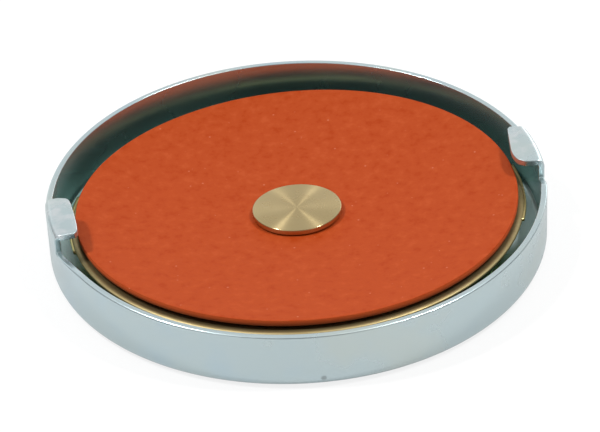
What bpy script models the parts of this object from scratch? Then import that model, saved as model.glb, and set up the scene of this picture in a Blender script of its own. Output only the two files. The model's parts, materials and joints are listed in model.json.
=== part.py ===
"""Bayonet filler cap, lying on its outer face with the sealing side up.

Five pieces: a pressed steel shell with two bayonet tabs, a shouldered brass rivet,
a two-armed leaf spring, a dished pressure plate and a rubber gasket.
Metres, +Z up, origin at the middle of the face that the cap lies on.
"""

import math

import bmesh
import bpy
from mathutils import Matrix, Vector

# Shell
SHELL_DIAMETER = 0.0800
SHEET = 0.0010
CORNER_RADIUS = 0.0016
RIM_EDGE = 0.0002
RECESS_RADIUS = 0.0052
RECESS_DEPTH = 0.0010

# Bayonet tabs, folded in from the rim
TAB_WIDTH = 0.0106
TAB_LENGTH = 0.0051
TAB_OFFSET = 0.0070
TAB_RISE = 0.00175
TAB_BEND_RADIUS = 0.0012
TAB_LEAD_ALONG = 0.0042
TAB_LEAD_ACROSS = 0.0019
RELIEF_SLOT = 0.0008
RELIEF_DEPTH = 0.0015
RELIEF_RAMP_RIGHT = 0.0038
RELIEF_RAMP_LEFT = 0.0084
RELIEF_RAMP_POWER = 1.6

# Sealing stack, which stands tilted in its play
WALL_CLEARANCE = 0.0020
LEAF_SHOW = 0.0004
PLATE_SHOW = 0.00115
GASKET_THICKNESS = 0.0010
PLATE_THICKNESS = 0.0005
LEAF_THICKNESS = 0.0004
LEAF_WIDTH = 0.0170
LEAF_ANGLE = math.radians(0.4)
GASKET_DISH = 0.00284
PLATE_DISH = 0.00235
DISH_POWER = 1.5
SEAT_MARGIN = 0.0005
SEAL_TILT = math.radians(2.78)
HIGH_SIDE = math.radians(-67.4)
SEAL_BELOW_RIM = 0.0000873
PRESS_TRAVEL = 0.0005

# Rivet
HEAD_DIAMETER = 0.01434
HEAD_THICKNESS = 0.0009
HEAD_EDGE = 0.00015
SHANK_DIAMETER = 0.0060
TENON_DIAMETER = 0.0042
TAIL_DIAMETER = 0.0084
TAIL_THICKNESS = 0.0004

# Clearances
GAP = 0.0002
BORE_CLEARANCE = 0.0003
TENON_CLEARANCE = 0.0005
LEAF_HOLE_CLEARANCE = 0.0007

# Facets
ROUND_STEPS = 72
RIVET_STEPS = 48
ARC_STEPS = 5
DISH_RINGS = 6
LEAF_ROWS = 28
LEAF_COLUMNS = 6
WELD = 1e-6

# Radii that follow from the sizes above
shell_radius = SHELL_DIAMETER / 2
wall_radius = shell_radius - SHEET
leaf_radius = wall_radius - WALL_CLEARANCE
plate_radius = leaf_radius - LEAF_SHOW
gasket_radius = plate_radius - PLATE_SHOW
head_radius = HEAD_DIAMETER / 2
shank_radius = SHANK_DIAMETER / 2
tenon_radius = TENON_DIAMETER / 2
tail_radius = TAIL_DIAMETER / 2
seat_radius = head_radius + SEAT_MARGIN
bore_radius = shank_radius + BORE_CLEARANCE
tenon_hole_radius = tenon_radius + TENON_CLEARANCE
flank_offset = SHEET * math.tan(math.pi / 8)
boss_radius = RECESS_RADIUS + flank_offset
boss_foot_radius = boss_radius + RECESS_DEPTH
leaf_hole_radius = boss_foot_radius + LEAF_HOLE_CLEARANCE

# Levels that follow, with the sealing stack level; rocking raises one side by the slope
slope = math.tan(SEAL_TILT)
boss_top = RECESS_DEPTH + SHEET
plate_floor = boss_top + PRESS_TRAVEL + boss_radius * slope + GAP
plate_seat = plate_floor + PLATE_THICKNESS
gasket_floor = plate_seat + GAP
gasket_seat = gasket_floor + GASKET_THICKNESS
head_floor = gasket_seat + GAP
head_top = head_floor + HEAD_THICKNESS
seal_level = gasket_seat + GASKET_DISH
rim_height = seal_level + gasket_radius * slope + SEAL_BELOW_RIM
leaf_floor = SHEET + LEAF_WIDTH / 2 * slope + GAP
leaf_seat = leaf_floor + LEAF_THICKNESS
shoulder_level = boss_top + shank_radius * slope + GAP
tail_top = RECESS_DEPTH - tail_radius * slope - GAP / 2
tail_floor = tail_top - TAIL_THICKNESS


def dish(radius, depth):
    """Height of a dished sheet above its flat seat at a radius; the depth is that at the gasket's edge."""
    reach = max(0.0, (radius - seat_radius) / (gasket_radius - seat_radius))
    return depth * reach ** DISH_POWER


def leaf_height(radius):
    """Height of the leaf's upper face: flat round the boss, up under the plate's edge at the tips."""
    reach = max(0.0, (radius - leaf_hole_radius) / (leaf_radius - leaf_hole_radius))
    tip = plate_floor + dish(plate_radius, PLATE_DISH) - GAP
    return leaf_seat + (tip - leaf_seat) * reach ** DISH_POWER


# The rocking axis runs through the leaf's tips, where the plate is carried
pivot_level = plate_floor + dish(plate_radius, PLATE_DISH)


def arc(centre, radius, start_degrees, end_degrees):
    """Points of an arc in the (radius, height) plane."""
    points = []
    for step in range(ARC_STEPS + 1):
        angle = math.radians(start_degrees + (end_degrees - start_degrees) * step / ARC_STEPS)
        points.append((centre[0] + radius * math.cos(angle), centre[1] + radius * math.sin(angle)))
    return points


def add_object(name, bm):
    """Turn a bmesh into a named object with its faces pointing out."""
    bmesh.ops.remove_doubles(bm, verts=bm.verts, dist=WELD)
    bmesh.ops.recalc_face_normals(bm, faces=bm.faces)
    mesh = bpy.data.meshes.new(name)
    bm.to_mesh(mesh)
    bm.free()
    mesh.shade_smooth()
    mesh.set_sharp_from_angle(angle=math.radians(30))
    thing = bpy.data.objects.new(name, mesh)
    bpy.context.collection.objects.link(thing)
    return thing


def revolve(name, outline, steps=ROUND_STEPS, closed=True, start=0.0, sweep=2 * math.pi):
    """Spin an outline of (radius, height) points about the Z axis."""
    bm = bmesh.new()
    turn = Matrix.Rotation(start, 3, "Z")
    verts = [bm.verts.new(turn @ Vector((radius, 0.0, height))) for radius, height in outline]
    pairs = list(zip(verts, verts[1:]))
    if closed:
        pairs.append((verts[-1], verts[0]))
    edges = [bm.edges.new(pair) for pair in pairs]
    whole = sweep >= 2 * math.pi
    if not whole:
        bm.faces.new(verts)
    result = bmesh.ops.spin(
        bm, geom=verts + edges, cent=(0, 0, 0), axis=(0, 0, 1), angle=sweep, steps=steps, use_merge=whole
    )
    if not whole:
        last = [item for item in result["geom_last"] if isinstance(item, bmesh.types.BMEdge)]
        bmesh.ops.contextual_create(bm, geom=last)
    return add_object(name, bm)


def extrude_outline(name, outline, floor, height):
    """Raise a flat outline of (x, y) points into a prism."""
    bm = bmesh.new()
    face = bm.faces.new([bm.verts.new((x, y, floor)) for x, y in outline])
    raised = bmesh.ops.extrude_face_region(bm, geom=[face])
    top = [item for item in raised["geom"] if isinstance(item, bmesh.types.BMVert)]
    bmesh.ops.translate(bm, verts=top, vec=(0, 0, height))
    return add_object(name, bm)


def make_cutter(thing):
    """Keep a helper shape out of the finished model."""
    thing.hide_render = True
    thing.display_type = "WIRE"
    return thing


def combine(thing, other, operation):
    """Add a Boolean that stays on the object."""
    modifier = thing.modifiers.new(f"{operation.lower()}_{other.name}", "BOOLEAN")
    modifier.operation = operation
    modifier.solver = "EXACT"
    modifier.object = make_cutter(other)


def paint(thing, colour, roughness, metallic):
    """Give an object its own Principled material."""
    material = bpy.data.materials.new(f"{thing.name}_finish")
    material.use_nodes = True
    shader = material.node_tree.nodes["Principled BSDF"]
    shader.inputs["Base Color"].default_value = (*colour, 1.0)
    shader.inputs["Roughness"].default_value = roughness
    shader.inputs["Metallic"].default_value = metallic
    thing.data.materials.append(material)


def shell_outline():
    """Section of the cup: recessed middle, flat floor, rounded corner, straight skirt."""
    inner_corner = max(CORNER_RADIUS - SHEET, RIM_EDGE)
    outline = [
        (tenon_hole_radius, RECESS_DEPTH),
        (RECESS_RADIUS, RECESS_DEPTH),
        (RECESS_RADIUS + RECESS_DEPTH, 0.0),
    ]
    outline += arc((shell_radius - CORNER_RADIUS, CORNER_RADIUS), CORNER_RADIUS, -90, 0)
    outline += [
        (shell_radius, rim_height - RIM_EDGE),
        (shell_radius - RIM_EDGE, rim_height),
        (wall_radius + RIM_EDGE, rim_height),
        (wall_radius, rim_height - RIM_EDGE),
    ]
    outline += arc((wall_radius - inner_corner, SHEET + inner_corner), inner_corner, 0, -90)
    outline += [
        (boss_foot_radius, SHEET),
        (boss_radius, boss_top),
        (tenon_hole_radius, boss_top),
    ]
    return outline


def tab_section():
    """Section of a tab: a leg inside the skirt's sheet, a bend, and a flat that reaches inwards."""
    embed = SHEET / 50
    leg_floor = rim_height - 2 * SHEET
    top = rim_height + TAB_RISE
    outside = shell_radius - embed
    inside = wall_radius + embed
    thickness = outside - inside
    bend = max(TAB_BEND_RADIUS, thickness + RIM_EDGE)
    centre = (outside - bend, top - bend)
    tip = shell_radius - 2 * TAB_LENGTH
    outline = [(inside, leg_floor), (outside, leg_floor)]
    outline += arc(centre, bend, 0, 90)
    outline += [(tip, top), (tip, top - thickness)]
    outline += arc(centre, bend - thickness, 90, 0)
    return outline


def tab_plan():
    """Plan of a tab seen from above: straight inner edge with one rounded lead-in corner."""
    edge = shell_radius - TAB_LENGTH
    outside = shell_radius + SHEET
    near = TAB_OFFSET - TAB_WIDTH / 2
    far = TAB_OFFSET + TAB_WIDTH / 2
    plan = [(outside, near), (outside, far), (edge, far)]
    for step in range(ARC_STEPS + 1):
        turn = math.pi / 2 * step / ARC_STEPS
        along = near + TAB_LEAD_ALONG * (1 - math.sin(turn))
        across = edge + TAB_LEAD_ACROSS * (1 - math.cos(turn))
        plan.append((across, along))
    return plan


def relief_profile(toward, ramp):
    """Side view of the cut in the rim beside a tab: a slot at the tab, then a ramp up to the rim."""
    start = TAB_OFFSET + toward * TAB_WIDTH / 2
    over = rim_height + 2 * TAB_RISE
    profile = [(start, over), (start, rim_height - RELIEF_DEPTH)]
    for step in range(ARC_STEPS):
        share = step / ARC_STEPS
        profile.append((start + toward * (RELIEF_SLOT + ramp * share),
                        rim_height - RELIEF_DEPTH * (1 - share) ** RELIEF_RAMP_POWER))
    end = start + toward * (RELIEF_SLOT + ramp)
    profile += [(end, rim_height), (end, over)]
    return profile


def relief_cutter(name, profile):
    """Cutter through the rim's sheet from a side view of (along, height) points."""
    inside = wall_radius - SHEET - TAB_LENGTH
    outside = shell_radius + SHEET
    bm = bmesh.new()
    face = bm.faces.new([bm.verts.new((inside, along, height)) for along, height in profile])
    raised = bmesh.ops.extrude_face_region(bm, geom=[face])
    far_verts = [item for item in raised["geom"] if isinstance(item, bmesh.types.BMVert)]
    bmesh.ops.translate(bm, verts=far_verts, vec=(outside - inside, 0, 0))
    return add_object(name, bm)


def build_shell():
    """Pressed cup with a tab on each side and one relief cut beside each tab."""
    shell = revolve("cap_shell", shell_outline())
    half_sweep = math.asin(min(1.0, (TAB_OFFSET + TAB_WIDTH) / shell_radius))
    sides = {"right": (0.0, -1, RELIEF_RAMP_RIGHT), "left": (math.pi, 1, RELIEF_RAMP_LEFT)}
    for side, (turn, toward, ramp) in sides.items():
        cutter = relief_cutter(f"relief_cutter_{side}", relief_profile(toward, ramp))
        cutter.rotation_euler.z = turn
        combine(shell, cutter, "DIFFERENCE")
    for side, (turn, toward, ramp) in sides.items():
        tab = revolve(f"tab_{side}", tab_section(), ROUND_STEPS // 4, True, -half_sweep, 2 * half_sweep)
        plan = extrude_outline(f"tab_plan_{side}", tab_plan(), 0.0, 2 * rim_height)
        tab.rotation_euler.z = turn
        plan.rotation_euler.z = turn
        combine(tab, plan, "INTERSECT")
        combine(shell, tab, "UNION")
    paint(shell, (0.56, 0.60, 0.61), 0.28, 1.0)
    return shell


def dished_outline(inner, outer, seat, thickness, depth):
    """Section of a dished ring whose upper face has its flat middle at seat."""
    rings = [inner, seat_radius]
    for ring in range(1, DISH_RINGS + 1):
        rings.append(seat_radius + (outer - seat_radius) * ring / DISH_RINGS)
    upper = [(radius, seat + dish(radius, depth)) for radius in rings]
    lower = [(radius, seat - thickness + dish(radius, depth)) for radius in reversed(rings)]
    return upper + lower


def lowered(outline):
    """Heights measured from the rocking pivot."""
    return [(radius, height - pivot_level) for radius, height in outline]


def build_pivot():
    """Empty on the rocking axis that carries the tilted stack."""
    pivot = bpy.data.objects.new("seal_pivot", None)
    bpy.context.collection.objects.link(pivot)
    pivot.location = (0, 0, pivot_level)
    axis = Matrix.Rotation(HIGH_SIDE + math.pi / 2, 3, "Z") @ Vector((1, 0, 0))
    pivot.rotation_mode = "QUATERNION"
    pivot.rotation_quaternion = Matrix.Rotation(-SEAL_TILT, 3, axis).to_quaternion()
    return pivot


def build_rivet(pivot):
    """Shouldered rivet: wide turned head, shank, tenon through the floor, clinched tail."""
    outline = [
        (0.0, head_top),
        (head_radius - HEAD_EDGE, head_top),
        (head_radius, head_top - HEAD_EDGE),
        (head_radius, head_floor),
        (shank_radius, head_floor),
        (shank_radius, shoulder_level),
        (tenon_radius, shoulder_level),
        (tenon_radius, tail_top),
        (tail_radius, tail_top),
        (tail_radius - HEAD_EDGE, tail_floor),
        (0.0, tail_floor),
    ]
    rivet = revolve("centre_rivet", lowered(outline), RIVET_STEPS, closed=False)
    rivet.parent = pivot
    paint(rivet, (0.55, 0.45, 0.22), 0.30, 1.0)


def build_leaf(pivot):
    """Bowed strip with round ends, its middle round the boss and its tips under the plate's edge."""
    half_width = LEAF_WIDTH / 2
    bm = bmesh.new()
    bmesh.ops.create_grid(bm, x_segments=LEAF_ROWS, y_segments=LEAF_COLUMNS, size=1.0)
    for vert in bm.verts:
        across = vert.co.y * half_width
        along = vert.co.x * math.sqrt(leaf_radius ** 2 - across ** 2)
        radius = math.hypot(along, across)
        vert.co = (along, across, leaf_height(radius) - pivot_level)
    lower = bmesh.ops.extrude_face_region(bm, geom=list(bm.faces))
    lower_verts = [item for item in lower["geom"] if isinstance(item, bmesh.types.BMVert)]
    bmesh.ops.translate(bm, verts=lower_verts, vec=(0, 0, -LEAF_THICKNESS))
    leaf = add_object("leaf_spring", bm)
    punch_reach = PLATE_DISH + SHEET
    punch = revolve(
        "leaf_punch",
        [
            (0.0, leaf_seat - pivot_level + punch_reach),
            (leaf_hole_radius, leaf_seat - pivot_level + punch_reach),
            (leaf_hole_radius, leaf_floor - pivot_level - punch_reach),
            (0.0, leaf_floor - pivot_level - punch_reach),
        ],
        RIVET_STEPS,
        closed=False,
    )
    combine(leaf, punch, "DIFFERENCE")
    for thing in (leaf, punch):
        thing.rotation_euler.z = LEAF_ANGLE
        thing.parent = pivot
    paint(leaf, (0.56, 0.45, 0.20), 0.35, 1.0)


def build_plate(pivot):
    """Dished brass plate that carries the gasket and shows as a ring round it."""
    outline = dished_outline(bore_radius, plate_radius, plate_seat, PLATE_THICKNESS, PLATE_DISH)
    plate = revolve("pressure_plate", lowered(outline))
    plate.parent = pivot
    paint(plate, (0.56, 0.45, 0.20), 0.30, 1.0)


def build_gasket(pivot):
    """Rubber disc that lies loose in the plate under the rivet's head."""
    outline = dished_outline(bore_radius, gasket_radius, gasket_seat, GASKET_THICKNESS, GASKET_DISH)
    gasket = revolve("gasket", lowered(outline))
    gasket.parent = pivot
    paint(gasket, (0.55, 0.08, 0.025), 0.70, 0.0)


def main():
    for thing in list(bpy.data.objects):
        bpy.data.objects.remove(thing, do_unlink=True)
    build_shell()
    pivot = build_pivot()
    build_leaf(pivot)
    build_plate(pivot)
    build_gasket(pivot)
    build_rivet(pivot)
    bpy.context.view_layer.update()


main()
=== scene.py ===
"""Looks of a bayonet filler cap: bright zinc cup, brass plate and spring, rubber gasket and turned rivet."""
import json
import math

import bmesh
import bpy
from mathutils import Matrix, Vector


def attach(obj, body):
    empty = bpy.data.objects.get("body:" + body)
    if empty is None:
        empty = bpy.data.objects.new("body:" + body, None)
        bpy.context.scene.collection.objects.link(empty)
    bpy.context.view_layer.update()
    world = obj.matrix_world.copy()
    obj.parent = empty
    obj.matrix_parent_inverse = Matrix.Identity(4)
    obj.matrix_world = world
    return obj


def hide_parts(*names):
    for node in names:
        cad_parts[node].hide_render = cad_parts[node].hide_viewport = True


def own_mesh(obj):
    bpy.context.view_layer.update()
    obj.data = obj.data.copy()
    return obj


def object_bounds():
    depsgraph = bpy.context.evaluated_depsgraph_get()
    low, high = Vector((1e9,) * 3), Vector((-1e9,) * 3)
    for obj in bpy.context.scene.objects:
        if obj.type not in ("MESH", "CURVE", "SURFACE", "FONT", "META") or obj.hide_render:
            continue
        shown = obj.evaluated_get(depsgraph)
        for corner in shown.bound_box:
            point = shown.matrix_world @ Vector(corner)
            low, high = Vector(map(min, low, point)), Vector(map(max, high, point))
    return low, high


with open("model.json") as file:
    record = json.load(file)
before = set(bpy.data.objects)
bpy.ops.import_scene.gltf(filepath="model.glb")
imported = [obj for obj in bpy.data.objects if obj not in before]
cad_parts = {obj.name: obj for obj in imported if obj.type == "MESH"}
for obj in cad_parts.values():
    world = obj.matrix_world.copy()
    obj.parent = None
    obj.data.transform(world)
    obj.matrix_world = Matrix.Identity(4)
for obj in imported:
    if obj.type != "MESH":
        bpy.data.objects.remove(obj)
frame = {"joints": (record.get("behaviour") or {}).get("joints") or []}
cad_low, cad_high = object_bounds()

# Sizes are in metres, as in the part.
MM = 0.001
WELD = 1e-6
SLACK = WELD * 10

# Tabs, with the slot and the ramp that are cut into the rim beside each.
TAB_WIDTH = 10.6 * MM
TAB_OFFSET = 7.0 * MM
TAB_NEAR = TAB_OFFSET - TAB_WIDTH / 2
TAB_FAR = TAB_OFFSET + TAB_WIDTH / 2
TAB_RISE = 1.75 * MM
TAB_BEND_RADIUS = 1.2 * MM
TAB_CORNER = 1.0 * MM
TAB_CORNER_DEPTH = 0.4 * MM
TAB_MARGIN = 0.6 * MM
TAB_BEND_STEPS = 8
TAB_FLAT_STEPS = 3
SLANT_POWER = 1.35
SLOT_WIDTH = 0.8 * MM
RELIEF_DEPTH = 1.5 * MM
RELIEF_REACH = 4.0 * MM
RIGHT_RAMP = 3.8 * MM
LEFT_RAMP = 8.4 * MM
RAMP_POWER = 1.6

# Cup.
SHELL_RADIUS = cad_high.x
RIM_HEIGHT = cad_high.z - TAB_RISE
SHEET = 1.0 * MM
CORNER_RADIUS = 1.6 * MM
CORNER_STEPS = 10
WALL_FOOT = CORNER_RADIUS + 0.15 * MM
RECESS_RADIUS = 5.2 * MM
RECESS_DEPTH = 1.0 * MM
RECESS_FILLET = 0.45 * MM
TENON_HOLE_RADIUS = 2.6 * MM
INNER_FLOOR_RING = SHELL_RADIUS * 0.5
OUTER_FLOOR_RING = SHELL_RADIUS * 0.75
SHARP_EDGE = math.radians(50)
RIM_ROLL = 0.54 * MM
RIM_ROLL_STEPS = 5
RIM_INNER_SHARE = 0.45
TAB_OUTER_SHARE = 0.55
TAB_INNER_SHARE = 0.35

# Steps of the cup's stretches, round from the ramp at the right tab.
RIGHT_RAMP_STEPS = 12
SLOT_STEPS = 2
TAB_STEPS = 28
FAR_STEPS = 120
LEFT_RAMP_STEPS = 24
NEAR_STEPS = 100

# Leaf spring.
LEAF_RADIUS = 36.7 * MM
LEAF_WIDTH = 17.0 * MM
LEAF_TURN = math.radians(0.4)
LEAF_HOLE_RADIUS = 7.314 * MM
LEAF_HOLE_LIMIT = LEAF_WIDTH * 0.47
LEAF_THICKNESS = 0.4 * MM
LEAF_SEAT = 2.0128 * MM
LEAF_TIP = 5.2700 * MM
LEAF_COLUMNS = 160
LEAF_ROWS = 40

# Plate and gasket, which are dished and slightly twisted.
SEAL_HOLE_RADIUS = 3.3 * MM
SEAT_RADIUS = 7.67 * MM
DISH_POWER = 1.5
DISH_RINGS = 24
EDGE_STEPS = 3
ROUND_STEPS = 288
PLATE_RADIUS = 36.3 * MM
PLATE_SEAT = 3.4726 * MM
PLATE_THICKNESS = 0.5 * MM
PLATE_DISH = 2.42 * MM
PLATE_WARP = 0.25 * MM
PLATE_EDGE = 0.02 * MM
PLATE_SHIFT = Vector((0.0, -0.26 * MM, 0.0))
PLATE_LIP = 0.9 * MM
PLATE_LIP_DROP = 0.42 * MM
PLATE_LIP_STEPS = 8
PLATE_UNDERSIDE = 0.9
GASKET_RADIUS = 35.45 * MM
GASKET_SEAT = 4.6726 * MM
GASKET_THICKNESS = 1.0 * MM
GASKET_DISH = 2.84 * MM
GASKET_WARP = 0.33 * MM
GASKET_EDGE = 0.18 * MM

# Rivet.
HEAD_RADIUS = 7.17 * MM
HEAD_FLOOR = 4.8726 * MM
HEAD_TOP = 5.7726 * MM
HEAD_BAND = 0.12 * MM
SHANK_RADIUS = 3.0 * MM
SHOULDER = 2.346 * MM
TENON_RADIUS = 2.1 * MM
TAIL_RADIUS = 4.2 * MM
TAIL_TOP = 0.696 * MM
TAIL_FLOOR = 0.296 * MM
PUNCH_MOUTH = TAIL_RADIUS * 0.42
PUNCH_WALL = TAIL_RADIUS * 0.2
PUNCH_WALL_DEPTH = 0.35 * MM
PUNCH_DEPTH = 0.4 * MM
RIVET_EDGE = 0.15 * MM
RIVET_STEPS = 192

# Finishes: colours, colour stops over a noise, where the plating is worn or marked, and painted shade and
# painted light inside the cup and on the gasket's cut edge.
ZINC_TINTS = [(0.30, (0.50, 0.615, 0.665)), (0.50, (0.53, 0.63, 0.65)), (0.70, (0.555, 0.635, 0.625))]
ZINC_SCUFF = (0.74, 0.76, 0.78)
# Painted shade: the colour the inner wall darkens to towards the floor, and the floor's colour outside the
# patch of painted light.
ZINC_PAINTED_SHADE = (0.26, 0.43, 0.40)
# Dull plating on a patch of the cup's floor; its near-white colour is painted light.
ZINC_DULL_PAINTED_LIGHT = (0.84, 0.97, 0.98)
ZINC_NICK = (0.34, 0.40, 0.41)
PLATE_BRASS = [(0.32, (0.34, 0.265, 0.125)), (0.66, (0.41, 0.33, 0.165))]
SPRING_BRASS = [(0.32, (0.55, 0.42, 0.17)), (0.66, (0.68, 0.54, 0.24))]
RIVET_BRASS = [(0.30, (0.515, 0.40, 0.20)), (0.70, (0.54, 0.425, 0.22))]
RUBBER_TOP = [(0.30, (0.331, 0.038, 0.0035)), (0.50, (0.366, 0.052, 0.0098)), (0.72, (0.405, 0.067, 0.0167))]
# The gasket's cut edge: painted light at its top, brighter than the rubber, and painted shade that darkens it
# downwards.
RUBBER_CUT_PAINTED_LIGHT_AND_SHADE = [(0.30, (0.72, 0.118, 0.030)), (0.95, (0.36, 0.080, 0.028))]
RUBBER_DUST = (0.55, 0.22, 0.13)
SURFACE_IOR = 1.45
PAINTED_SHADE_POWER = 1.25
# Where the patch of dull plating and painted light lies across the cup's floor, and how far it fades.
DULL_LIT_START, DULL_LIT_END, DULL_LIT_FADE = -9.0 * MM, 11.0 * MM, 4.0 * MM
SCUFF_START, SCUFF_FULL = RIM_HEIGHT + 0.9 * MM, RIM_HEIGHT + 1.4 * MM
NICK_PLACE = (2.64 * MM, -39.9 * MM, 1.6 * MM)
NICK_CORE, NICK_EDGE = 0.3 * MM, 0.55 * MM

# The photograph's camera.
IMAGE_WIDTH, IMAGE_HEIGHT = 600, 432
FOCAL_PIXELS = 2755.0
CAMERA_DISTANCE = 0.43995
CAMERA_ELEVATION = math.radians(33.443)
CAMERA_ROLL = math.radians(3.136)
TOWARD_CAMERA = Vector((0, -math.cos(CAMERA_ELEVATION), math.sin(CAMERA_ELEVATION)))
RIM_CENTRE_PIXEL = (295.9, 188.6)
SENSOR_WIDTH = 36.0
CLIP_START, CLIP_END = 0.01, 20.0

# Light: two small lamps in a white tent over white paper.
LAMP_DISTANCE = 0.8
LAMP_SIZE = 0.07
TENT_LOW = 1.05
TENT_HIGH = 0.74
TENT_OPENING = 0.30
TENT_SIDE = 0.30
PANEL_TOWARD = Vector((0.54, 0.83, 0.12)).normalized()
PANEL_GLOW = 1.6
FLOOR_HALF_WIDTH = 3.0
FLOOR_GAP = 0.02 * MM
FLOOR_GLOW = 0.8
FLOOR_MIRRORED = 0.64
FLOOR_MIRRORED_SHARE = 0.65

# Where plate, gasket, spring and rivet lie: tilted together about the pivot they rock on.
joints = {joint["name"]: joint for joint in frame["joints"]}
seal_axis = Vector(joints["seal_press"]["axis"]).normalized()
seal_pivot = Vector(joints["seal_rock"]["pos_m"])
seal_turn = Vector((0, 0, 1)).rotation_difference(seal_axis).to_matrix().to_4x4()
seal_place = Matrix.Translation(seal_pivot) @ seal_turn @ Matrix.Translation(-seal_pivot)


def fillet(corners, radius, steps=4):
    """The same outline with its inner corners rounded to at most this radius."""
    outline = [corners[0]]
    for before, corner, after in zip(corners, corners[1:], corners[2:]):
        before, corner, after = Vector(before), Vector(corner), Vector(after)
        back, ahead = before - corner, after - corner
        reach = min(radius, back.length * 0.45, ahead.length * 0.45)
        start, end = corner + back.normalized() * reach, corner + ahead.normalized() * reach
        for step in range(steps + 1):
            share = step / steps
            outline.append(start.lerp(corner, share).lerp(corner.lerp(end, share), share))
    outline.append(corners[-1])
    return [Vector(point) for point in outline]


def draw_outline(shape, outline, turn=0.0):
    """Vertices and edges of a section, radius and height, at one angle."""
    direction = Vector((math.cos(turn), math.sin(turn), 0))
    verts = [shape.verts.new(direction * radius + Vector((0, 0, height))) for radius, height in outline]
    edges = [shape.edges.new(pair) for pair in zip(verts, verts[1:])]
    return verts + edges


def revolve(outline, steps):
    """A closed turned shape about the Z axis."""
    shape = bmesh.new()
    section = draw_outline(shape, outline)
    bmesh.ops.spin(shape, geom=section, cent=(0, 0, 0), axis=(0, 0, 1), angle=math.tau, steps=steps,
                   use_merge=True, use_duplicate=False)
    bmesh.ops.remove_doubles(shape, verts=shape.verts, dist=WELD)
    bmesh.ops.recalc_face_normals(shape, faces=shape.faces)
    return shape


def make_piece(name, shape, material, body, node):
    """A finished piece from its bmesh, on its body and in place of its CAD node."""
    for face in shape.faces:
        face.smooth = True
    mesh = bpy.data.meshes.new(name)
    shape.to_mesh(mesh)
    shape.free()
    mesh.materials.append(material)
    piece = bpy.data.objects.new(name, mesh)
    bpy.context.scene.collection.objects.link(piece)
    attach(piece, body)
    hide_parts(node)
    return piece


class NodeBuilder:
    """Adds nodes to one node tree and links them."""

    def __init__(self, tree):
        self.tree = tree

    def node(self, kind, **values):
        """A new node with some of its properties set."""
        made = self.tree.nodes.new(kind)
        for key, value in values.items():
            setattr(made, key, value)
        return made

    def link(self, source, target):
        """Joins an output to an input."""
        self.tree.links.new(source, target)

    def fill(self, socket, value):
        """Gives an input a number, a colour or another node's output."""
        if isinstance(value, (int, float)):
            socket.default_value = value
        elif isinstance(value, tuple):
            socket.default_value = (*value, 1)
        else:
            self.link(value, socket)

    def span(self, source, low, high, new_low, new_high, interpolation="LINEAR"):
        """Maps one range of numbers to another and holds its ends."""
        scaled = self.node("ShaderNodeMapRange", interpolation_type=interpolation)
        for key, value in zip(("From Min", "From Max", "To Min", "To Max"), (low, high, new_low, new_high)):
            scaled.inputs[key].default_value = value
        self.link(source, scaled.inputs["Value"])
        return scaled.outputs["Result"]

    def math(self, operation, *values):
        """One sum, product or the like of numbers and outputs."""
        made = self.node("ShaderNodeMath", operation=operation)
        for socket, value in zip(made.inputs, values):
            self.fill(socket, value)
        return made.outputs["Value"]

    def vector_math(self, operation, source, fixed):
        """The distance or the dot product of an output and a fixed vector."""
        made = self.node("ShaderNodeVectorMath", operation=operation)
        self.link(source, made.inputs[0])
        made.inputs[1].default_value = fixed
        return made.outputs["Value"]


class Finish(NodeBuilder):
    """A procedural material under construction, patterned by object coordinates."""

    def __init__(self, name):
        self.material = bpy.data.materials.new(name)
        self.material.use_nodes = True
        super().__init__(self.material.node_tree)
        self.shader = self.tree.nodes["Principled BSDF"]
        self.place = self.node("ShaderNodeTexCoord").outputs["Object"]

    def set(self, **values):
        """Sets values of the shader that are the same all over."""
        for key, value in values.items():
            self.shader.inputs[key.replace("_", " ")].default_value = value

    def feed(self, socket, source):
        """Lets an output drive one of the shader's inputs."""
        self.link(source, self.shader.inputs[socket])

    def attribute(self, name):
        """A value that the piece carries at its vertices."""
        return self.node("ShaderNodeAttribute", attribute_name=name).outputs["Fac"]

    def stretched(self, scale):
        """Object coordinates scaled by axis."""
        mapping = self.node("ShaderNodeMapping")
        mapping.inputs["Scale"].default_value = scale
        self.link(self.place, mapping.inputs["Vector"])
        return mapping.outputs["Vector"]

    def noise(self, scale, detail=2.0, roughness=0.5, vector=None):
        """A cloudy pattern between 0 and 1."""
        noise = self.node("ShaderNodeTexNoise")
        noise.inputs["Scale"].default_value = scale
        noise.inputs["Detail"].default_value = detail
        noise.inputs["Roughness"].default_value = roughness
        self.link(vector or self.place, noise.inputs["Vector"])
        return noise.outputs["Fac"]

    def ramp(self, source, stops):
        """Colours that follow a pattern, eased from stop to stop."""
        ramp = self.node("ShaderNodeValToRGB")
        ramp.color_ramp.interpolation = "EASE"
        elements = ramp.color_ramp.elements
        while len(elements) < len(stops):
            elements.new(0.5)
        for element, (position, colour) in zip(elements, stops):
            element.position = position
            element.color = (*colour, 1)
        self.link(source, ramp.inputs["Fac"])
        return ramp.outputs["Color"]

    def mix(self, amount, first, second, blend="MIX"):
        """Two colours mixed by an amount."""
        mix = self.node("ShaderNodeMix", data_type="RGBA", blend_type=blend)
        for key, value in (("Factor", amount), ("A", first), ("B", second)):
            socket = next(item for item in mix.inputs if item.name == key and item.enabled)
            self.fill(socket, value)
        return next(item for item in mix.outputs if item.enabled)

    def bump(self, height, distance, strength, below=None):
        """Fine relief from a pattern, on top of other relief if there is some."""
        bump = self.node("ShaderNodeBump")
        bump.inputs["Distance"].default_value = distance
        bump.inputs["Strength"].default_value = strength
        self.link(height, bump.inputs["Height"])
        if below:
            self.link(below, bump.inputs["Normal"])
        return bump.outputs["Normal"]


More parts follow.
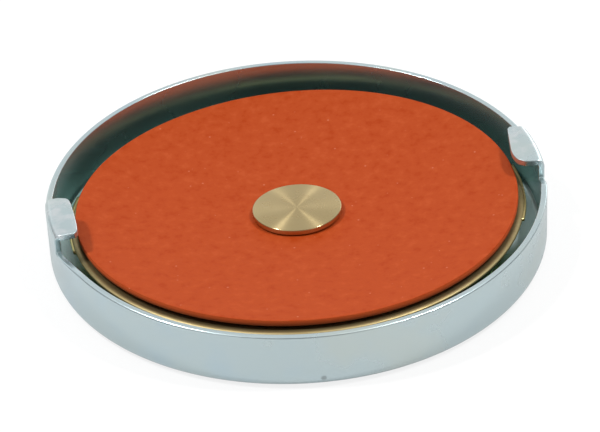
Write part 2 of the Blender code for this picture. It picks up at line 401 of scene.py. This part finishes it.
def zinc_finish():
    """Bright zinc plating: bluish and satin, scuffed on the tabs, with a nick; painted shade inside the cup,
    and dull plating with painted light on part of the floor.
    """
    zinc = Finish("bright zinc")
    zinc.set(IOR=SURFACE_IOR)
    shade = zinc.attribute("shade")
    dull_and_lit = zinc.attribute("dull_and_lit")
    clouds = zinc.noise(70, detail=4, roughness=0.55)
    axes = zinc.node("ShaderNodeSeparateXYZ")
    zinc.link(zinc.place, axes.inputs["Vector"])
    on_tabs = zinc.span(axes.outputs["Z"], SCUFF_START, SCUFF_FULL, 0.0, 1.0)
    marks = zinc.span(zinc.noise(420, detail=3), 0.48, 0.66, 0.0, 0.55)
    nick = zinc.span(zinc.vector_math("DISTANCE", zinc.place, NICK_PLACE), NICK_CORE, NICK_EDGE, 1.0, 0.0)
    scuffed = zinc.mix(zinc.math("MULTIPLY", on_tabs, marks), zinc.ramp(clouds, ZINC_TINTS), ZINC_SCUFF)
    # Painted shade inside the cup, as much as the shade attribute says.
    with_painted_shade = zinc.mix(shade, scuffed, ZINC_PAINTED_SHADE)
    # Dull plating with painted light on a patch of the floor.
    with_dull_and_lit = zinc.mix(dull_and_lit, with_painted_shade, ZINC_DULL_PAINTED_LIGHT)
    zinc.feed("Base Color", zinc.mix(nick, with_dull_and_lit, ZINC_NICK))
    zinc.feed("Metallic", zinc.span(dull_and_lit, 0.0, 1.0, 0.87, 0.25))
    satin = zinc.span(clouds, 0.3, 0.7, 0.22, 0.30)
    zinc.feed("Roughness", zinc.math("ADD", satin, zinc.span(dull_and_lit, 0.0, 1.0, 0.0, 0.2)))
    return zinc.material


def brass_finish(name, tones, smooth, rough):
    """Rolled brass sheet with a fine grain and a slight tarnish."""
    brass = Finish(name)
    brass.set(Metallic=0.93, IOR=SURFACE_IOR)
    clouds = brass.noise(120, detail=4, roughness=0.6)
    grain = brass.noise(1800, detail=3, vector=brass.stretched((0.12, 1, 1)))
    shade = brass.span(grain, 0.3, 0.7, 0.93, 1.06)
    brass.feed("Base Color", brass.mix(1.0, brass.ramp(clouds, tones), shade, "MULTIPLY"))
    brass.feed("Roughness", brass.span(clouds, 0.3, 0.7, rough, smooth))
    brass.feed("Normal", brass.bump(grain, 0.01 * MM, 0.4))
    return brass.material


def turned_finish():
    """Lathe-faced brass: fine rings about the axis, which spread the light into radial streaks."""
    turned = Finish("turned brass")
    turned.set(Metallic=1.0, IOR=SURFACE_IOR, Anisotropic=0.94, Anisotropic_Rotation=0.25)
    tangent = turned.node("ShaderNodeTangent", direction_type="RADIAL", axis="Z")
    turned.feed("Tangent", tangent.outputs["Tangent"])
    wave = turned.node("ShaderNodeTexWave", wave_type="RINGS", rings_direction="Z")
    wave.inputs["Scale"].default_value = 1300
    wave.inputs["Distortion"].default_value = 1.2
    wave.inputs["Detail"].default_value = 2
    turned.link(turned.place, wave.inputs["Vector"])
    rings = wave.outputs["Fac"]
    clouds = turned.noise(260, detail=3)
    shade = turned.span(rings, 0.0, 1.0, 0.94, 1.04)
    turned.feed("Base Color", turned.mix(1.0, turned.ramp(clouds, RIVET_BRASS), shade, "MULTIPLY"))
    faced = turned.span(clouds, 0.3, 0.7, 0.26, 0.30)
    polish = turned.span(turned.attribute("rim"), 0.0, 1.0, 0.0, 0.06)
    turned.feed("Roughness", turned.math("SUBTRACT", faced, polish))
    turned.feed("Normal", turned.bump(rings, 0.006 * MM, 0.2))
    return turned.material


def rubber_finish():
    """Matt orange-red rubber: a fine mottle and pale dust specks; its cut edge carries painted light at the
    top and painted shade that darkens it downwards.
    """
    rubber = Finish("gasket rubber")
    rubber.set(IOR=SURFACE_IOR, Specular_IOR_Level=0.08)
    mottle = rubber.noise(560, detail=5, roughness=0.68)
    specks = rubber.node("ShaderNodeTexVoronoi", feature="F1")
    specks.inputs["Scale"].default_value = 620
    rubber.link(rubber.place, specks.inputs["Vector"])
    dots = rubber.span(specks.outputs["Distance"], 0.05, 0.13, 1.0, 0.0)
    scatter = rubber.span(rubber.noise(900, detail=0), 0.60, 0.66, 0.0, 0.55)
    dust = rubber.math("MULTIPLY", dots, scatter)
    top = rubber.mix(dust, rubber.ramp(mottle, RUBBER_TOP), RUBBER_DUST)
    depth = rubber.attribute("depth")
    side = rubber.span(depth, 0.06, 0.20, 0.0, 1.0)
    # The cut edge gets painted light and painted shade in place of the rubber's colour.
    rubber.feed("Base Color", rubber.mix(side, top, rubber.ramp(depth, RUBBER_CUT_PAINTED_LIGHT_AND_SHADE)))
    rubber.feed("Roughness", rubber.span(mottle, 0.3, 0.7, 0.50, 0.66))
    fine = rubber.bump(rubber.noise(3200, detail=3), 0.03 * MM, 0.35)
    rubber.feed("Normal", rubber.bump(mottle, 0.08 * MM, 0.25, fine))
    return rubber.material


def paper_finish():
    """White paper: it takes the object's soft shadow, and metal mirrors it dimmer than the camera sees it."""
    paper = Finish("white paper")
    paper.set(Base_Color=(0.93, 0.93, 0.93, 1), Roughness=0.9, Specular_IOR_Level=0.1)
    rays = paper.node("ShaderNodeLightPath").outputs
    mirrored = paper.math("MAXIMUM", rays["Is Glossy Ray"], rays["Is Transmission Ray"])
    glow = paper.node("ShaderNodeEmission")
    paper.link(paper.span(mirrored, 0.0, 1.0, 1.0, FLOOR_MIRRORED), glow.inputs["Strength"])
    seen = paper.math("MULTIPLY", rays["Is Camera Ray"], FLOOR_GLOW)
    reflected = paper.math("MULTIPLY", mirrored, FLOOR_MIRRORED_SHARE)
    blend = paper.node("ShaderNodeMixShader")
    paper.link(paper.math("MAXIMUM", seen, reflected), blend.inputs["Fac"])
    paper.link(paper.shader.outputs["BSDF"], blend.inputs[1])
    paper.link(glow.outputs["Emission"], blend.inputs[2])
    paper.link(blend.outputs["Shader"], paper.tree.nodes["Material Output"].inputs["Surface"])
    return paper.material


class Tab:
    """One bayonet tab's own shape, in a frame turned so that the tab looks along X."""

    def __init__(self, turn, lift, length, lead_along, lead_across, slant):
        self.turn = turn
        self.spin = Matrix.Rotation(turn, 3, "Z")
        self.back = Matrix.Rotation(-turn, 3, "Z")
        self.lift = lift
        self.inner_edge = SHELL_RADIUS - length
        self.lead_along = lead_along
        self.lead_across = lead_across
        self.slant = slant

    def reach(self, along):
        """How near the axis the tab's inner edge comes at this place along it."""
        lead = max(0.0, 1 - (along - TAB_NEAR) / self.lead_along)
        tail = max(0.0, 1 - (TAB_FAR - along) / TAB_CORNER)
        slope = max(0.0, TAB_FAR - TAB_CORNER - along) / TAB_WIDTH
        rounding = self.lead_across * (1 - math.sqrt(max(0.0, 1 - lead ** 2)))
        corner = TAB_CORNER_DEPTH * (1 - math.sqrt(max(0.0, 1 - tail ** 2)))
        return self.inner_edge + rounding + corner + self.slant * slope ** SLANT_POWER

    def carries(self, vert):
        """Whether a vertex is on the stretch of rim from which the tab rises."""
        place = self.back @ vert.co
        on_rim = place.x > 0 and abs(place.z - RIM_HEIGHT) < SLACK
        return on_rim and TAB_NEAR - SLACK < place.y < TAB_FAR + SLACK

    def point(self, along, bent, out):
        """A point of the tab, at these shares through its bend and out on its flat."""
        angle = (math.radians(90) - self.lift) * bent
        root = math.sqrt(SHELL_RADIUS ** 2 - along ** 2)
        x = root - TAB_BEND_RADIUS + TAB_BEND_RADIUS * math.cos(angle)
        z = RIM_HEIGHT + TAB_RISE - TAB_BEND_RADIUS + TAB_BEND_RADIUS * math.sin(angle)
        flat = (x - self.reach(along)) * out
        return self.spin @ Vector((x - flat, along, z + flat * math.tan(self.lift)))


RIGHT_TAB = Tab(turn=0.0, lift=0.0, length=5.1 * MM, lead_along=4.2 * MM, lead_across=1.9 * MM, slant=0.0)
LEFT_TAB = Tab(turn=math.pi, lift=math.radians(8.0), length=5.58 * MM,
               lead_along=1.5 * MM, lead_across=1.7 * MM, slant=2.1 * MM)


def skirt_outline():
    """Section of the cup's outside: recess, floor, rounded corner and skirt."""
    corners = [(TENON_HOLE_RADIUS, RECESS_DEPTH), (RECESS_RADIUS, RECESS_DEPTH),
               (RECESS_RADIUS + SHEET, 0.0), (INNER_FLOOR_RING, 0.0)]
    outline = fillet(corners, RECESS_FILLET)
    outline.append(Vector((OUTER_FLOOR_RING, 0.0)))
    corner_centre = Vector((SHELL_RADIUS - CORNER_RADIUS, CORNER_RADIUS))
    for step in range(CORNER_STEPS + 1):
        angle = math.radians(90) * (step / CORNER_STEPS - 1)
        outline.append(corner_centre + CORNER_RADIUS * Vector((math.cos(angle), math.sin(angle))))
    for height in (WALL_FOOT, RIM_HEIGHT - RELIEF_REACH, RIM_HEIGHT - RELIEF_DEPTH, RIM_HEIGHT):
        outline.append(Vector((SHELL_RADIUS, height)))
    return outline


def angle_at(along):
    """Angle round the cup at which its outside is this far along a tab's width."""
    return math.asin(along / SHELL_RADIUS)


def tab_turns(turn):
    """Angles of a tab's margins and far side, each with the steps that lead up to it."""
    start, end = turn + angle_at(TAB_NEAR), turn + angle_at(TAB_FAR)
    margin = angle_at(TAB_MARGIN)
    return [(start + margin, 1), (end - margin, TAB_STEPS), (end, 1)]


def skirt_turns():
    """Angles at which the rim changes, each with the steps that lead up to it, once round the cup."""
    right_slot = angle_at(TAB_NEAR - SLOT_WIDTH)
    right_ramp = angle_at(TAB_NEAR - SLOT_WIDTH - RIGHT_RAMP)
    left_slot = math.pi + angle_at(TAB_FAR + SLOT_WIDTH)
    left_ramp = math.pi + angle_at(TAB_FAR + SLOT_WIDTH + LEFT_RAMP)
    turns = [(right_ramp, 0), (right_slot, RIGHT_RAMP_STEPS), (angle_at(TAB_NEAR), SLOT_STEPS)]
    turns += tab_turns(RIGHT_TAB.turn)
    turns.append((LEFT_TAB.turn + angle_at(TAB_NEAR), FAR_STEPS))
    turns += tab_turns(LEFT_TAB.turn)
    turns += [(left_slot, SLOT_STEPS), (left_ramp, LEFT_RAMP_STEPS), (right_ramp + math.tau, NEAR_STEPS)]
    return turns


def cut_relief(skin, back, side, toward, ramp):
    """Cuts the rim beside a tab: a slot against the tab, then a ramp that rises to the rim."""
    slot_end = side + toward * SLOT_WIDTH
    floor_level = RIM_HEIGHT - RELIEF_DEPTH
    slot_faces = []
    for face in skin.faces:
        middle = back @ face.calc_center_median()
        if middle.x > 0 and middle.z > floor_level and 0 < (middle.y - side) * toward < SLOT_WIDTH:
            slot_faces.append(face)
    bmesh.ops.delete(skin, geom=slot_faces, context="FACES")
    for vert in skin.verts:
        place = back @ vert.co
        share = (place.y - slot_end) * toward / ramp
        if place.x < 0 or not -SLACK < share < 1 or place.z < floor_level - SLACK:
            continue
        top = RIM_HEIGHT - RELIEF_DEPTH * (1 - max(0.0, share)) ** RAMP_POWER
        if place.z > RIM_HEIGHT - SLACK:
            vert.co.z = top
        elif share > SLACK / ramp:
            vert.co.z = (RIM_HEIGHT - RELIEF_REACH + top) / 2
    bmesh.ops.remove_doubles(skin, verts=skin.verts, dist=WELD)


def fold_tab(skin, tab):
    """Raises one bayonet tab from the rim and folds it inwards."""
    row = [edge for edge in skin.edges if all(tab.carries(vert) for vert in edge.verts)]
    bends = [(step / TAB_BEND_STEPS, 0.0) for step in range(TAB_BEND_STEPS + 1)]
    flats = [(1.0, step / TAB_FLAT_STEPS) for step in range(1, TAB_FLAT_STEPS + 1)]
    for bent, out in bends + flats:
        grown = bmesh.ops.extrude_edge_only(skin, edges=row)["geom"]
        verts = {item for item in grown if isinstance(item, bmesh.types.BMVert)}
        edges = [item for item in grown if isinstance(item, bmesh.types.BMEdge)]
        row = [edge for edge in edges if set(edge.verts) <= verts]
        for vert in verts:
            vert.co = tab.point((tab.back @ vert.co).y, bent, out)


def shell_skin():
    """The cup's outside face as an open skin, from the floor's hole to the rim and over the tabs."""
    turns = skirt_turns()
    skin = bmesh.new()
    section = draw_outline(skin, skirt_outline(), turns[0][0])
    for (first, _), (last, steps) in zip(turns, turns[1:]):
        spun = bmesh.ops.spin(skin, geom=section, cent=(0, 0, 0), axis=(0, 0, 1), angle=last - first,
                              steps=steps, use_duplicate=False)
        section = spun["geom_last"]
    bmesh.ops.remove_doubles(skin, verts=skin.verts, dist=WELD)
    cut_relief(skin, RIGHT_TAB.back, TAB_NEAR, -1, RIGHT_RAMP)
    cut_relief(skin, LEFT_TAB.back, TAB_FAR, 1, LEFT_RAMP)
    for tab in (RIGHT_TAB, LEFT_TAB):
        fold_tab(skin, tab)
    bmesh.ops.recalc_face_normals(skin, faces=skin.faces)
    floor_face = min(skin.faces, key=lambda face: abs(face.calc_center_median().z))
    if floor_face.normal.z > 0:
        bmesh.ops.reverse_faces(skin, faces=skin.faces)
    return skin


def inner_tints(place):
    """How much painted shade, and how much dull plating with painted light, a place inside the cup gets."""
    # On the floor: dull plating with painted light inside the patch, painted shade outside it.
    if place.z < WALL_FOOT - WELD:
        inside = min(place.y - DULL_LIT_START, DULL_LIT_END - place.y)
        dull_lit_share = min(1.0, max(0.0, inside / DULL_LIT_FADE))
        return 1.0 - dull_lit_share, dull_lit_share
    # Painted shade on the inner wall, growing with depth below the rim.
    deep = min(1.0, (RIM_HEIGHT - place.z) / RELIEF_REACH)
    return deep ** PAINTED_SHADE_POWER, 0.0


def roll_share(edge, outside):
    """How much of the rim's roll this sharp edge gets."""
    on_rim = all(vert.co.z < RIM_HEIGHT + SLACK for vert in edge.verts)
    on_outside = all(vert in outside for vert in edge.verts)
    if on_rim:
        return 1.0 if on_outside else RIM_INNER_SHARE
    return TAB_OUTER_SHARE if on_outside else TAB_INNER_SHARE


def make_shell(material):
    """The cup: its skin thickened to the sheet, with a rim that is rounded off outwards."""
    cup = shell_skin()
    shade = cup.verts.layers.float.new("shade")
    dull_and_lit = cup.verts.layers.float.new("dull_and_lit")
    outside = set(cup.verts)
    bmesh.ops.solidify(cup, geom=cup.faces, thickness=SHEET)
    # Inside the cup the vertices carry painted shade, and on a patch of the floor dull plating with painted
    # light.
    for vert in cup.verts:
        if vert not in outside and vert.co.z <= RIM_HEIGHT - SHEET:
            vert[shade], vert[dull_and_lit] = inner_tints(vert.co)
    weight = cup.edges.layers.float.new("bevel_weight_edge")
    for edge in cup.edges:
        if len(edge.link_faces) == 2 and edge.calc_face_angle() > SHARP_EDGE:
            edge[weight] = roll_share(edge, outside)
    shell = make_piece("zinc_cup", cup, material, "shell", "cap_shell")
    bevel = shell.modifiers.new("rolled edges", "BEVEL")
    bevel.limit_method = "WEIGHT"
    bevel.width = RIM_ROLL
    bevel.segments = RIM_ROLL_STEPS
    bevel.harden_normals = True


class Disc:
    """A dished round sheet with a hole for the rivet; its dish is its rise at the gasket's edge."""

    def __init__(self, radius, seat, thickness, dish, edge):
        self.radius = radius
        self.seat = seat
        self.thickness = thickness
        self.dish = dish
        self.edge = edge

    def top(self, radius):
        """Height of the upper face at this radius."""
        share = max(0.0, radius - SEAT_RADIUS) / (GASKET_RADIUS - SEAT_RADIUS)
        return self.seat + self.dish * share ** DISH_POWER

    def outline(self):
        """Section: the upper face, the outer edge, the underside and the hole."""
        step = (self.radius - SEAT_RADIUS) / DISH_RINGS
        radii = [SEAT_RADIUS + step * ring for ring in range(DISH_RINGS + 1)]
        upper = [Vector((radius, self.top(radius))) for radius in radii]
        lower = [point - Vector((0, self.thickness)) for point in reversed(upper)]
        outer = fillet([upper[-2], upper[-1], lower[0], lower[1]], self.edge, EDGE_STEPS)
        hole = [(SEAL_HOLE_RADIUS, self.seat - self.thickness), (SEAL_HOLE_RADIUS, self.seat)]
        bore = fillet([lower[-1], *hole, upper[0]], self.edge, EDGE_STEPS)
        return upper[:-2] + outer + lower[2:-1] + bore


PLATE = Disc(PLATE_RADIUS, PLATE_SEAT, PLATE_THICKNESS, PLATE_DISH, PLATE_EDGE)
GASKET = Disc(GASKET_RADIUS, GASKET_SEAT, GASKET_THICKNESS, GASKET_DISH, GASKET_EDGE)


def twist(shape, warp):
    """Bends a disc like a saddle, by this much at the gasket's edge."""
    for vert in shape.verts:
        share = vert.co.xy.length / GASKET_RADIUS
        vert.co.z += warp * math.sin(2 * math.atan2(vert.co.y, vert.co.x)) * share ** 2


def plate_lip():
    """The outer end of the plate's upper face, rounded over."""
    lip = []
    for step in range(PLATE_LIP_STEPS + 1):
        share = math.sin(math.pi / 2 * step / PLATE_LIP_STEPS)
        radius = PLATE_RADIUS - PLATE_LIP + PLATE_LIP * share
        drop = PLATE_LIP_DROP * (1 - math.sqrt(1 - share ** 2))
        lip.append(Vector((radius, PLATE.top(radius) - drop)))
    return lip


def plate_outline():
    """The plate's section with the lip in place of its outer edge."""
    outline = PLATE.outline()
    outer = [point for point in outline if point.x >= PLATE_RADIUS - PLATE_LIP]
    under = [point for point in outer if point.y < PLATE.top(point.x) - PLATE_THICKNESS * PLATE_UNDERSIDE]
    first = outline.index(outer[0])
    return outline[:first] + plate_lip() + under + outline[first + len(outer):]


def make_plate(material):
    """Dished brass plate under the gasket, slightly twisted and off centre."""
    shape = revolve(plate_outline(), ROUND_STEPS)
    twist(shape, PLATE_WARP)
    aside = seal_place @ Matrix.Translation(PLATE_SHIFT)
    bmesh.ops.transform(shape, matrix=aside, verts=shape.verts)
    make_piece("brass_plate", shape, material, "plate", "pressure_plate")


def make_gasket(material):
    """Dished rubber disc, slightly twisted; its depth attribute tells the top from the cut edge."""
    shape = revolve(GASKET.outline(), ROUND_STEPS)
    depth = shape.verts.layers.float.new("depth")
    for vert in shape.verts:
        vert[depth] = (GASKET.top(vert.co.xy.length) - vert.co.z) / GASKET_THICKNESS
    twist(shape, GASKET_WARP)
    bmesh.ops.transform(shape, matrix=seal_place, verts=shape.verts)
    make_piece("rubber_gasket", shape, material, "gasket_ring", "gasket")


def leaf_blank():
    """The spring's flat strip, with its ends trimmed round and a hole for the rivet."""
    strip = bmesh.new()
    bmesh.ops.create_grid(strip, x_segments=LEAF_COLUMNS, y_segments=LEAF_ROWS, size=1.0)
    for vert in strip.verts:
        across = vert.co.y * LEAF_WIDTH / 2
        vert.co = Vector((vert.co.x * math.sqrt(LEAF_RADIUS ** 2 - across ** 2), across, 0))
    inside = [vert for vert in strip.verts if vert.co.length < LEAF_HOLE_RADIUS]
    bmesh.ops.delete(strip, geom=inside, context="VERTS")
    for vert in strip.verts:
        if vert.is_boundary and vert.co.length < LEAF_HOLE_LIMIT:
            vert.co *= LEAF_HOLE_RADIUS / vert.co.length
    return strip


def make_leaf(material):
    """Two-armed spring: the strip bowed up towards its tips and thickened."""
    strip = leaf_blank()
    for vert in strip.verts:
        share = max(0.0, vert.co.length - LEAF_HOLE_RADIUS) / (LEAF_RADIUS - LEAF_HOLE_RADIUS)
        vert.co.z = LEAF_SEAT + (LEAF_TIP - LEAF_SEAT) * share ** DISH_POWER
    bmesh.ops.recalc_face_normals(strip, faces=strip.faces)
    if next(iter(strip.faces)).normal.z > 0:
        bmesh.ops.reverse_faces(strip, faces=strip.faces)
    bmesh.ops.solidify(strip, geom=strip.faces, thickness=LEAF_THICKNESS)
    bmesh.ops.recalc_face_normals(strip, faces=strip.faces)
    turned = seal_place @ Matrix.Rotation(LEAF_TURN, 4, "Z")
    bmesh.ops.transform(strip, matrix=turned, verts=strip.verts)
    return make_piece("spring_leaf", strip, material, "rivet", "leaf_spring")


def make_rivet(material):
    """Turned rivet: wide flat head, shank, tenon and a clinched tail with a punch mark."""
    head = [(0.0, HEAD_TOP), (HEAD_RADIUS, HEAD_TOP), (HEAD_RADIUS, HEAD_FLOOR)]
    shank = [(SHANK_RADIUS, HEAD_FLOOR), (SHANK_RADIUS, SHOULDER)]
    tenon = [(TENON_RADIUS, SHOULDER), (TENON_RADIUS, TAIL_TOP)]
    tail = [(TAIL_RADIUS, TAIL_TOP), (TAIL_RADIUS, TAIL_FLOOR)]
    punch = [(PUNCH_MOUTH, TAIL_FLOOR), (PUNCH_WALL, TAIL_FLOOR + PUNCH_WALL_DEPTH),
             (0.0, TAIL_FLOOR + PUNCH_DEPTH)]
    shape = revolve(fillet(head + shank + tenon + tail + punch, RIVET_EDGE, EDGE_STEPS), RIVET_STEPS)
    rim = shape.verts.layers.float.new("rim")
    for vert in shape.verts:
        vert[rim] = 1.0 if vert.co.xy.length > HEAD_RADIUS - HEAD_BAND else 0.0
    bmesh.ops.transform(shape, matrix=seal_place, verts=shape.verts)
    make_piece("turned_rivet", shape, material, "rivet", "centre_rivet")


def make_camera():
    """The photograph's camera, turned so that the rim's centre falls on its pixel."""
    ahead = -TOWARD_CAMERA
    right = Vector((1, 0, 0))
    up = right.cross(ahead)
    turned_right = right * math.cos(CAMERA_ROLL) - up * math.sin(CAMERA_ROLL)
    turned_up = right * math.sin(CAMERA_ROLL) + up * math.cos(CAMERA_ROLL)
    off_right = (RIM_CENTRE_PIXEL[0] - IMAGE_WIDTH / 2) / FOCAL_PIXELS
    off_up = (IMAGE_HEIGHT / 2 - RIM_CENTRE_PIXEL[1]) / FOCAL_PIXELS
    aim = (ahead - turned_right * off_right - turned_up * off_up).normalized()
    side = aim.cross(turned_up).normalized()
    top = side.cross(aim)
    camera = bpy.data.objects.new("camera", bpy.data.cameras.new("camera"))
    camera.data.sensor_fit = "HORIZONTAL"
    camera.data.sensor_width = SENSOR_WIDTH
    camera.data.lens = FOCAL_PIXELS * SENSOR_WIDTH / IMAGE_WIDTH
    camera.data.clip_start = CLIP_START
    camera.data.clip_end = CLIP_END
    stand = Vector((0, 0, RIM_HEIGHT)) + TOWARD_CAMERA * CAMERA_DISTANCE
    turn = Matrix((side, top, -aim)).transposed()
    camera.matrix_world = Matrix.Translation(stand) @ turn.to_4x4()
    bpy.context.scene.collection.objects.link(camera)
    bpy.context.scene.camera = camera


def make_floor(material):
    """A sheet of paper just under the cap."""
    shape = bmesh.new()
    bmesh.ops.create_grid(shape, x_segments=1, y_segments=1, size=FLOOR_HALF_WIDTH)
    bmesh.ops.translate(shape, vec=(0, 0, -FLOOR_GAP), verts=shape.verts)
    mesh = bpy.data.meshes.new("floor")
    shape.to_mesh(mesh)
    shape.free()
    mesh.materials.append(material)
    floor = bpy.data.objects.new("floor", mesh)
    bpy.context.scene.collection.objects.link(floor)


def make_lamp(name, toward, watts):
    """A small square lamp in this direction from the cap, aimed at it."""
    lamp = bpy.data.lights.new(name, "AREA")
    lamp.shape = "SQUARE"
    lamp.size = LAMP_SIZE
    lamp.energy = watts
    direction = Vector(toward).normalized()
    holder = bpy.data.objects.new(name, lamp)
    holder.location = direction * LAMP_DISTANCE
    holder.rotation_euler = (-direction).to_track_quat("-Z", "Y").to_euler()
    bpy.context.scene.collection.objects.link(holder)


def make_tent():
    """A white light tent: bright round the horizon, dimmer at the sides and at the opening for the camera."""
    world = bpy.data.worlds.new("tent")
    bpy.context.scene.world = world
    world.use_nodes = True
    tent = NodeBuilder(world.node_tree)
    direction = tent.node("ShaderNodeTexCoord").outputs["Generated"]

    def level_toward(axis, low, high, new_low, new_high):
        """A level that changes softly as the direction nears an axis."""
        nearness = tent.vector_math("DOT_PRODUCT", direction, axis)
        return tent.span(nearness, low, high, new_low, new_high, "SMOOTHSTEP")

    walls = level_toward((0, 0, 1), 0.36, 0.54, TENT_LOW, TENT_HIGH)
    opening = level_toward(TOWARD_CAMERA, 0.72, 0.97, 1.0, TENT_OPENING)
    left = level_toward((-1, 0, 0), 0.55, 0.80, 1.0, TENT_SIDE)
    right = level_toward((1, 0, 0), 0.55, 0.80, 1.0, TENT_SIDE)
    panel = level_toward(PANEL_TOWARD, 0.955, 0.99, 0.0, PANEL_GLOW)
    front = tent.math("MULTIPLY", walls, opening)
    sides = tent.math("MULTIPLY", left, right)
    level = tent.math("MULTIPLY_ADD", front, sides, panel)
    rays = tent.node("ShaderNodeLightPath")
    seen = tent.node("ShaderNodeMix")
    tent.link(rays.outputs["Is Camera Ray"], seen.inputs["Factor"])
    tent.link(level, seen.inputs["A"])
    seen.inputs["B"].default_value = 1.0
    background = tent.tree.nodes["Background"]
    background.inputs["Color"].default_value = (1, 1, 1, 1)
    tent.link(seen.outputs["Result"], background.inputs["Strength"])


bpy.context.scene.view_settings.view_transform = "Standard"
make_camera()
make_tent()
make_floor(paper_finish())
make_lamp("left lamp", toward=(-0.50, 0.0, 0.86), watts=3.4)
make_lamp("right lamp", toward=(0.46, 0.0, 0.89), watts=2.9)

make_shell(zinc_finish())
make_plate(brass_finish("plate brass", PLATE_BRASS, smooth=0.42, rough=0.52))
make_gasket(rubber_finish())
leaf = make_leaf(brass_finish("spring brass", SPRING_BRASS, smooth=0.24, rough=0.32))
make_rivet(turned_finish())
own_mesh(leaf)
